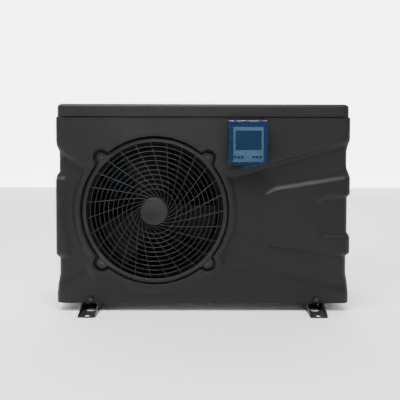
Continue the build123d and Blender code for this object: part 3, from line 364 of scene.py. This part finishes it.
def add_recess(bm):
    """Rounded lip, wall, seat and air opening, grown from the hole's edge."""
    edge = [e for e in bm.edges if e.is_boundary and all(
        abs(float(recess_distance(np.array([v.co.x / MM]), np.array([v.co.z / MM]))[0])) < 0.5
        and v.co.y < -0.12 for v in e.verts)]
    lip = 2.5
    rings = [(lip * (1 - math.cos(a)), lip * math.sin(a)) for a in np.radians([30, 60, 90])]
    start = {v: (v.co.x / MM, -v.co.y / MM, v.co.z / MM) for e in edge for v in e.verts}
    steps = []
    for drop, inward in rings:
        steps.append(lambda x, d, z, gx, gz, i=inward, f=drop: (x - gx * i, d - f, z - gz * i))
    for share in (0.35, 0.7):
        steps.append(lambda x, d, z, gx, gz, s=share: (
            x - gx * (lip + s), (d - lip) + (SEAT_DEPTH + 1.5 - d + lip) * s, z - gz * (lip + s)))
    steps.append(lambda x, d, z, gx, gz: (x - gx * 3.6, SEAT_DEPTH + 0.5, z - gz * 3.6))
    steps.append(lambda x, d, z, gx, gz: (x - gx * 4.6, SEAT_DEPTH, z - gz * 4.6))

    def radial(radius, depth):
        def place(x, d, z, gx, gz):
            a = math.atan2(z - FAN_Z, x - FAN_X)
            return (FAN_X + radius * math.cos(a), depth, FAN_Z + radius * math.sin(a))
        return place

    steps += [radial(OPENING_R + 1.5, SEAT_DEPTH), radial(OPENING_R, SEAT_DEPTH - 1.5)]
    current = {v: v for v in start}
    for step in steps:
        following = {}
        for v, (x, d, z) in start.items():
            gx, gz = recess_gradient(np.array([x]), np.array([z]))
            px, pd, pz = step(x, d, z, float(gx[0]), float(gz[0]))
            following[v] = bm.verts.new((px * MM, -pd * MM, pz * MM))
        for e in edge:
            a, b = e.verts
            bm.faces.new((current[a], current[b], following[b], following[a])).smooth = True
        current = following


# ---------------------------------------------------------------- grille
RINGS = [75.0 + 15.6 * i for i in range(10)]
HUB_DISC_R = 44.5
SPOKES = 27
SWIRL = 54.2
DOME_R = 1332.0
RIM_R = 230.0


def dome_depth(radius, drop=0.0):
    """Depth of the dished surface at a radius, or of one a little behind it."""
    return HUB_DEPTH - DOME_R + math.sqrt(DOME_R ** 2 - radius ** 2) - drop


def ring_parts():
    """The thin rings, each a rounded rib following the dome."""
    parts = []
    for radius in RINGS:
        centre = dome_depth(radius, 2.6)
        profile = [(radius + u, centre + v) for u, v in rounded_section(1.3, 2.3, 1.0)]
        parts.append(lathe(profile, 180))
    return parts


def spoke_parts():
    """The swirled spokes, as rounded ribs from the hub disc to the rim."""
    parts = []
    section = rounded_section(1.25, 2.1, 1.0, 2)
    radii = [HUB_DISC_R - 3 + (RIM_R + 4 - HUB_DISC_R + 3) * (i / 46) ** 1.15 for i in range(47)]
    n = len(section)
    for k in range(SPOKES):
        verts, faces = [], []
        for radius in radii:
            angle = 2 * math.pi * k / SPOKES - SWIRL * (1 / radius - 1 / RIM_R)
            heading = angle + math.atan(SWIRL / radius)
            across = (-math.sin(heading), math.cos(heading))
            x, z = FAN_X + radius * math.cos(angle), FAN_Z + radius * math.sin(angle)
            centre = dome_depth(radius, 3.0)
            for u, v in section:
                verts.append((x + across[0] * u, centre + v, z + across[1] * u))
        for i in range(len(radii) - 1):
            for m in range(n):
                p = (m + 1) % n
                faces.append((i * n + m, i * n + p, (i + 1) * n + p, (i + 1) * n + m))
        faces.append(tuple(range(n)))
        faces.append(tuple((len(radii) - 1) * n + m for m in reversed(range(n))))
        parts.append((verts, faces))
    return parts


def hub_part():
    """The flat disc in the middle, with a fine step near its edge."""
    top = HUB_DEPTH
    edge = HUB_DISC_R
    profile = [(0.01, top - 0.9), (edge - 8, top - 0.9), (edge - 7, top - 0.3), (edge - 2.5, top - 0.4),
               (edge - 0.8, top - 1.1), (edge, top - 2.2), (edge, top - 5.6), (0.01, top - 5.6)]
    return lathe(profile, 96)


def rim_part():
    """The outer rim: a rounded band with a raised inner lip."""
    inner = dome_depth(RIM_R)
    profile = [(RIM_R, inner - 1.2), (RIM_R + 1.0, inner + 0.1), (RIM_R + 3.0, inner + 0.4),
               (RIM_R + 5.5, inner - 0.5),
               (GRILLE_RIM_R - 3.5, 156.6), (GRILLE_RIM_R - 1.2, 155.8), (GRILLE_RIM_R - 0.2, 153.8),
               (GRILLE_RIM_R - 0.2, 148.8), (RIM_R, 148.8)]
    return lathe(profile, 240)


def ear_parts():
    """Four rounded lugs that carry the screws, each with a countersink."""
    parts = []
    for sx in (-1, 1):
        for sz in (-1, 1):
            profile = [(2.9, 148.8), (2.9, 152.6), (5.6, 154.6), (6.6, 155.0), (EAR_R - 3, 155.0),
                       (EAR_R - 1.2, 154.6), (EAR_R - 0.2, 153.2), (EAR_R, 151.5), (EAR_R, 148.8)]
            parts.append(lathe(profile, 48, (sx * EAR_SPREAD, sz * EAR_SPREAD)))
    return parts


def make_grille():
    parts = ring_parts() + spoke_parts() + [hub_part(), rim_part()] + ear_parts()
    grille = join_parts("fan_grille_ribs", parts)
    mod = grille.modifiers.new("edges", "EDGE_SPLIT")
    mod.split_angle = math.radians(45)
    apply_modifiers(grille)
    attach(grille, "case")
    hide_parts("fan_grille")
    return grille


# ---------------------------------------------------------------- evaporator fins
FIN_PITCH = 2.4
FIN_DEPTH = 26.0
FIN_THICK = 0.3
FIN_WAVE = 2.6


def fin(place, z_low, z_high):
    """One waffled plate; place turns (along the stack, across it) into x and depth."""
    line = [(FIN_WAVE * (i % 2), FIN_DEPTH * i / 6) for i in range(7)]
    outline = [(u, v) for u, v in line] + [(u + FIN_THICK, v) for u, v in line[::-1]]
    n = len(outline)
    verts = [(*place(u, v), z) for z in (z_low, z_high) for u, v in outline]
    faces = [(i, (i + 1) % n, n + (i + 1) % n, n + i) for i in range(n)]
    faces += [(i, i + 1, n - 2 - i, n - 1 - i) for i in range(6)]
    faces += [(2 * n - 1 - i, 2 * n - 2 - i, n + i + 1, n + i) for i in range(6)]
    return verts, faces


def make_fins():
    """Waffled plates at their real pitch, in place of the widely spaced plain ones."""
    low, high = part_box("evaporator_fins")
    x_low, x_high = low.x / MM, high.x / MM
    near, far = -low.y / MM, -high.y / MM
    z_low, z_high = low.z / MM, high.z / MM
    parts = []
    rear = x_low + 0.2
    for k in range(int((x_high - rear - FIN_WAVE - FIN_THICK) / FIN_PITCH) + 1):
        parts.append(fin(lambda u, v, at=rear + k * FIN_PITCH: (at + u, far + v), z_low, z_high))
    for k in range(int((near - far - FIN_DEPTH - FIN_WAVE - FIN_THICK) / FIN_PITCH)):
        parts.append(fin(lambda u, v, at=near - k * FIN_PITCH: (x_low + v, at - u), z_low, z_high))
    fins = join_parts("evaporator_waffle", parts)
    fins.data.polygons.foreach_set("use_smooth", [False] * len(fins.data.polygons))
    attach(fins, "case")
    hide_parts("evaporator_fins")
    return fins


def make_coil_seal():
    """Folded strip that closes the gap between the coil's end and the partition."""
    fins_low, fins_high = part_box("evaporator_fins")
    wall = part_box("partition_plate")[0].x / MM
    start, back = fins_high.x / MM - 3, -fins_high.y / MM
    z_low, z_high = fins_low.z / MM, fins_high.z / MM
    bends = [(start, back - 1), (start, back - 4), (wall - 1.2, back - 4), (wall - 1.2, back + 10)]
    inner = [(start + 1, back - 1), (start + 1, back - 3), (wall - 2.2, back - 3), (wall - 2.2, back + 10)]
    outline = bends + inner[::-1]
    n = len(outline)
    verts = [(x, d, z) for z in (z_low, z_high) for x, d in outline]
    faces = [(i, (i + 1) % n, n + (i + 1) % n, n + i) for i in range(n)]
    for i in range(3):
        faces += [(i, i + 1, n - 2 - i, n - 1 - i), (2 * n - 1 - i, 2 * n - 2 - i, n + i + 1, n + i)]
    seal = join_parts("coil_seal_strip", [(verts, faces)])
    seal.data.polygons.foreach_set("use_smooth", [False] * len(seal.data.polygons))
    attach(seal, "case")
    return seal


# ---------------------------------------------------------------- controller
def make_face_frame_and_shade():
    """Low bevelled navy frame round the controller's face, deepest at the hinge, where its wide band is painted
    shade under the cover's top.
    """
    low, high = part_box("controller_bezel")
    x_low, x_high, z_low, z_high = low.x / MM, high.x / MM, low.z / MM, high.z / MM
    face = -low.y / MM
    loops = []
    # painted shade: the top border (13 mm) is wider than the bottom (6 mm), a navy band standing for the shadow
    # under the cover's top
    for side, bottom, top, rise in ((0.2, 0.2, 0.2, 0.02), (0.8, 0.8, 0.8, 1.2), (9.2, 6.0, 13.0, 1.2),
                                    (10.4, 7.2, 14.2, 0.02)):
        loops.append([(x_low + side, face + rise, z_low + bottom), (x_high - side, face + rise, z_low + bottom),
                      (x_high - side, face + rise, z_high - top), (x_low + side, face + rise, z_high - top)])
    verts = [v for loop in loops for v in loop]
    faces = []
    for k in range(4):
        a, b = 4 * k, 4 * ((k + 1) % 4)
        faces += [(a + i, a + (i + 1) % 4, b + (i + 1) % 4, b + i) for i in range(4)]
    border = join_parts("controller_frame_painted_shade", [(verts, faces)])
    border.data.polygons.foreach_set("use_smooth", [False] * len(border.data.polygons))
    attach(border, "case")
    return border


# ---------------------------------------------------------------- gauge dial
def make_dial():
    """White dial plate and its scale marks, in the bottom of the gauge's case."""
    low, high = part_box("gauge_lens")
    centre_x, centre_z = (low.x + high.x) / 2 / MM, (low.z + high.z) / 2 / MM
    base = -low.y / MM + 5.2
    outer = 27.5

    def disc(radius, depth, thick):
        verts, faces = [(centre_x, depth, centre_z), (centre_x, depth - thick, centre_z)], []
        for i in range(72):
            a = 2 * math.pi * i / 72
            x, z = centre_x + radius * math.cos(a), centre_z + radius * math.sin(a)
            verts += [(x, depth, z), (x, depth - thick, z)]
        for i in range(72):
            a, b = 2 + 2 * i, 2 + 2 * ((i + 1) % 72)
            faces += [(0, a, b), (1, b + 1, a + 1), (a, a + 1, b + 1, b)]
        return verts, faces

    plate = join_parts("gauge_dial", [disc(outer, base, 0.4)])
    marks = []
    for i in range(28):
        a = math.radians(225 - 10 * i)
        wide, length = (0.55, 6.0) if i % 3 == 0 else (0.3, 3.2)
        out, side = (-math.cos(a), math.sin(a)), (math.sin(a), math.cos(a))
        corners = [(r, w) for r in (outer - 2.0 - length, outer - 2.0) for w in (-wide, wide)]
        verts = [(centre_x + r * out[0] + w * side[0], base - t, centre_z + r * out[1] + w * side[1])
                 for t in (0.4, 0.62) for r, w in corners]
        faces = [(0, 1, 3, 2), (4, 6, 7, 5), (0, 4, 5, 1), (2, 3, 7, 6), (0, 2, 6, 4), (1, 5, 7, 3)]
        marks.append((verts, faces))
    scale = join_parts("gauge_scale", marks)
    for piece, slot in ((plate, "pale_plastic"), (scale, "black_plastic")):
        piece.data.polygons.foreach_set("use_smooth", [False] * len(piece.data.polygons))
        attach(piece, "case")
    return plate, scale


# ---------------------------------------------------------------- materials
def node_material(name):
    material = bpy.data.materials.new(name)
    material.use_nodes = True
    nodes = material.node_tree.nodes
    return material, nodes, material.node_tree.links, nodes["Principled BSDF"]


def noise(nodes, links, scale, detail, coordinates, rough=0.6):
    texture = nodes.new("ShaderNodeTexNoise")
    texture.inputs["Scale"].default_value = scale
    texture.inputs["Detail"].default_value = detail
    texture.inputs["Roughness"].default_value = rough
    links.new(coordinates, texture.inputs["Vector"])
    return texture.outputs["Fac"]


def surface(name, dark, light, rough=(0.45, 0.6), grain=(900.0, 0.12), blotch=6.0, metallic=0.0, stretch=None,
            **sockets):
    """A finish with cloudy colour, uneven gloss and a fine grain; stretch draws the grain out along an axis."""
    material, nodes, links, shader = node_material(name)
    coords = nodes.new("ShaderNodeTexCoord").outputs["Object"]
    if stretch:
        mapping = nodes.new("ShaderNodeMapping")
        mapping.inputs["Scale"].default_value = stretch
        links.new(coords, mapping.inputs["Vector"])
        coords = mapping.outputs["Vector"]
    cloud = noise(nodes, links, blotch, 5, coords)
    speck = noise(nodes, links, grain[0], 2, coords)
    ramp = nodes.new("ShaderNodeValToRGB")
    ramp.color_ramp.elements[0].position = 0.3
    ramp.color_ramp.elements[1].position = 0.7
    ramp.color_ramp.elements[0].color = (*dark, 1)
    ramp.color_ramp.elements[1].color = (*light, 1)
    blend = nodes.new("ShaderNodeMath")
    blend.operation = "MULTIPLY_ADD"
    blend.inputs[1].default_value = 0.35
    links.new(speck, blend.inputs[0])
    half = nodes.new("ShaderNodeMath")
    half.operation = "MULTIPLY"
    half.inputs[1].default_value = 0.65
    links.new(cloud, half.inputs[0])
    links.new(half.outputs[0], blend.inputs[2])
    links.new(blend.outputs[0], ramp.inputs["Fac"])
    links.new(ramp.outputs["Color"], shader.inputs["Base Color"])
    gloss = nodes.new("ShaderNodeMapRange")
    gloss.inputs["From Min"].default_value = 0.3
    gloss.inputs["From Max"].default_value = 0.7
    gloss.inputs["To Min"].default_value = rough[0]
    gloss.inputs["To Max"].default_value = rough[1]
    links.new(cloud, gloss.inputs["Value"])
    links.new(gloss.outputs["Result"], shader.inputs["Roughness"])
    bump = nodes.new("ShaderNodeBump")
    bump.inputs["Strength"].default_value = grain[1]
    bump.inputs["Distance"].default_value = 0.0004
    links.new(speck, bump.inputs["Height"])
    links.new(bump.outputs["Normal"], shader.inputs["Normal"])
    shader.inputs["Metallic"].default_value = metallic
    for socket, value in sockets.items():
        shader.inputs[socket.replace("_", " ")].default_value = value
    return material


def make_materials():
    made = {}
    made["charcoal_plastic"] = surface("charcoal", (0.0075, 0.0075, 0.0077), (0.0105, 0.0105, 0.0107),
                                       (0.46, 0.58), (1100, 0.08), Specular_IOR_Level=0.2)
    made["black_plastic"] = surface("black_moulding", (0.006, 0.006, 0.006), (0.009, 0.009, 0.009),
                                    (0.4, 0.52), (900, 0.1), Specular_IOR_Level=0.3)
    # painted shade: a near-black finish, darker than black plastic, for the fan, shroud, motor and bracket deep
    # inside the case
    made["fan_black"] = surface("fan_moulding_painted_shade", (0.0015, 0.0015, 0.0015), (0.003, 0.003, 0.003),
                                (0.5, 0.65), (900, 0.1), Specular_IOR_Level=0.15)
    made["dial_white"] = surface("dial_enamel", (0.50, 0.50, 0.48), (0.56, 0.56, 0.54), (0.35, 0.45),
                                 (900, 0.05))
    made["black_steel"] = surface("black_powder_coat", (0.012, 0.012, 0.013), (0.022, 0.022, 0.024),
                                  (0.35, 0.5), (1600, 0.25))
    made["grey_steel"] = surface("grey_powder_coat", (0.10, 0.105, 0.11), (0.14, 0.145, 0.15), (0.4, 0.55),
                                 (1600, 0.25))
    made["zinc_steel"] = surface("galvanised", (0.42, 0.43, 0.45), (0.62, 0.63, 0.64), (0.3, 0.5),
                                 (300, 0.05), 40, 0.9)
    made["bright_steel"] = surface("machined_steel", (0.5, 0.5, 0.51), (0.68, 0.68, 0.69), (0.22, 0.35),
                                   (500, 0.1), 60, 1.0, (1, 12, 1))
    # painted shade: the fins are darkened far below their own light blue coating, for the shade inside the case
    made["fin_aluminium"] = surface("fins_painted_shade", (0.03, 0.05, 0.07), (0.06, 0.09, 0.12), (0.4, 0.55),
                                    (400, 0.1), 30, 0.5)
    made["copper"] = surface("copper_tube", (0.55, 0.24, 0.13), (0.75, 0.38, 0.24), (0.25, 0.4),
                             (300, 0.05), 40, 1.0)
    made["brass_parts"] = surface("brass", (0.60, 0.42, 0.16), (0.76, 0.58, 0.28), (0.25, 0.4), (500, 0.1),
                                  40, 1.0)
    made["titanium"] = surface("titanium_tube", (0.36, 0.35, 0.33), (0.5, 0.49, 0.47), (0.3, 0.45),
                               (500, 0.1), 40, 1.0)
    made["pale_plastic"] = surface("pale_moulding", (0.42, 0.43, 0.44), (0.52, 0.53, 0.54), (0.35, 0.5),
                                   (900, 0.12))
    made["seal_rubber"] = surface("rubber", (0.012, 0.012, 0.012), (0.022, 0.022, 0.022), (0.6, 0.8),
                                  (900, 0.3))
    made["circuit_board"] = surface("solder_mask", (0.01, 0.10, 0.04), (0.02, 0.17, 0.07), (0.2, 0.35),
                                    (500, 0.1), 90)
    made["red_paint"] = surface("red_pointer", (0.45, 0.02, 0.015), (0.6, 0.04, 0.03), (0.3, 0.4),
                                (900, 0.05), 60)
    made["navy_plastic"] = surface("navy_moulding", (0.010, 0.014, 0.040), (0.018, 0.026, 0.062),
                                   (0.15, 0.25), (700, 0.05), 30)
    made["slate_plastic"] = surface("slate_face", (0.12, 0.235, 0.30), (0.15, 0.275, 0.345), (0.35, 0.45),
                                    (900, 0.08), 25)
    made["display_glass"] = surface("display", (0.004, 0.022, 0.036), (0.006, 0.028, 0.044), (0.28, 0.34),
                                    (60, 0.0), 8)
    made["key_rubber"] = surface("key_caps", (0.004, 0.010, 0.018), (0.008, 0.016, 0.028), (0.4, 0.55),
                                 (900, 0.1), 60)
    made["clear_lens"] = surface("gauge_glass", (0.30, 0.32, 0.33), (0.36, 0.38, 0.39), (0.04, 0.07),
                                 (60, 0.0), 20, Alpha=0.06)
    made["blue_clear"] = surface("tinted_cover", (0.004, 0.018, 0.055), (0.006, 0.022, 0.062), (0.08, 0.12),
                                 (60, 0.0), 8, Alpha=0.34)
    return made


def paint(obj, material):
    obj.data.materials.clear()
    obj.data.materials.append(material)


# ---------------------------------------------------------------- stage
def make_stage():
    floor_mesh = bpy.data.meshes.new("floor")
    size = 12.0
    floor_mesh.from_pydata([(-size, -size, 0), (size, -size, 0), (size, size, 0), (-size, size, 0)],
                           [], [(0, 1, 2, 3)])
    floor = bpy.data.objects.new("floor", floor_mesh)
    bpy.context.collection.objects.link(floor)
    paint(floor, surface("pale_floor", (0.84, 0.84, 0.84), (0.86, 0.86, 0.86), (0.8, 0.9), (40, 0.02), 1.0))
    wall_mesh = bpy.data.meshes.new("backdrop")
    wall_mesh.from_pydata([(-size, 5, -0.01), (size, 5, -0.01), (size, 5, size), (-size, 5, size)],
                          [], [(0, 1, 2, 3)])
    wall = bpy.data.objects.new("backdrop", wall_mesh)
    bpy.context.collection.objects.link(wall)
    paint(wall, surface("bright_paper", (0.9, 0.9, 0.9), (0.92, 0.92, 0.92), (0.8, 0.9), (40, 0.0), 1.0,
                        Emission_Color=(1, 1, 1, 1), Emission_Strength=5.0))
    world = bpy.data.worlds.new("studio")
    world.use_nodes = True
    world.node_tree.nodes["Background"].inputs["Color"].default_value = (1, 1, 1, 1)
    world.node_tree.nodes["Background"].inputs["Strength"].default_value = 0.2
    bpy.context.scene.world = world


def area_light(name, place, target, size, power):
    data = bpy.data.lights.new(name, "AREA")
    data.shape = "RECTANGLE"
    data.size, data.size_y = size
    data.energy = power
    light = bpy.data.objects.new(name, data)
    light.location = place
    light.rotation_euler = (Vector(target) - Vector(place)).to_track_quat("-Z", "Y").to_euler()
    bpy.context.collection.objects.link(light)


def make_lights():
    middle = (0, 0, 0.35)
    area_light("top_soft", (-0.25, -0.62, 1.5), (-0.1, -0.1, 0.5), (1.6, 0.5), 46)
    area_light("left_soft", (-2.2, -1.4, 1.3), middle, (0.8, 1.6), 10)
    area_light("right_soft", (2.3, -1.3, 1.2), middle, (0.8, 1.6), 6)
    area_light("back_soft", (0.5, 2.4, 1.8), middle, (2.0, 1.2), 26)
    area_light("floor_wash", (0, -1.6, 3.2), (0, -1.5, 0), (4.0, 1.6), 70)


CAMERA_PLACE = (-0.0044, -1.610, 0.5387)
CAMERA_PITCH = 0.0274
CAMERA_YAW = 0.0032
CAMERA_ROLL = -0.0025
FOCAL_IN_WIDTHS = 1.08525
CAMERA_SHIFT = (-0.00825, -0.08975)


def make_camera():
    data = bpy.data.cameras.new("camera")
    data.sensor_width = 36.0
    data.lens = FOCAL_IN_WIDTHS * data.sensor_width
    data.shift_x, data.shift_y = CAMERA_SHIFT
    camera = bpy.data.objects.new("camera", data)
    camera.location = CAMERA_PLACE
    camera.rotation_mode = "YXZ"
    camera.rotation_euler = (math.pi / 2 - CAMERA_PITCH, CAMERA_ROLL, -CAMERA_YAW)
    camera.rotation_mode = "XYZ"
    bpy.context.collection.objects.link(camera)
    bpy.context.scene.camera = camera


# ---------------------------------------------------------------- everything together
make_camera()
make_stage()
make_lights()
materials = make_materials()
slots = {entry["node"]: entry["material_slot"] for entry in frame["record"]["subparts"]}
for node, obj in frame["nodes"].items():
    # painted shade: the parts deep inside the case, the zinc bracket too, take the near-black finish instead of
    # their own colours
    in_painted_shade = node in ("fan_impeller", "fan_shroud", "fan_motor", "motor_bracket")
    paint(obj, materials["fan_black" if in_painted_shade else slots[node]])
paint(make_front_panel(), materials["charcoal_plastic"])
paint(make_grille(), materials["black_plastic"])
paint(make_fins(), materials["fin_aluminium"])
paint(make_coil_seal(), materials["black_steel"])
paint(make_face_frame_and_shade(), materials["navy_plastic"])
dial, scale = make_dial()
paint(dial, materials["dial_white"])
paint(scale, materials["black_plastic"])
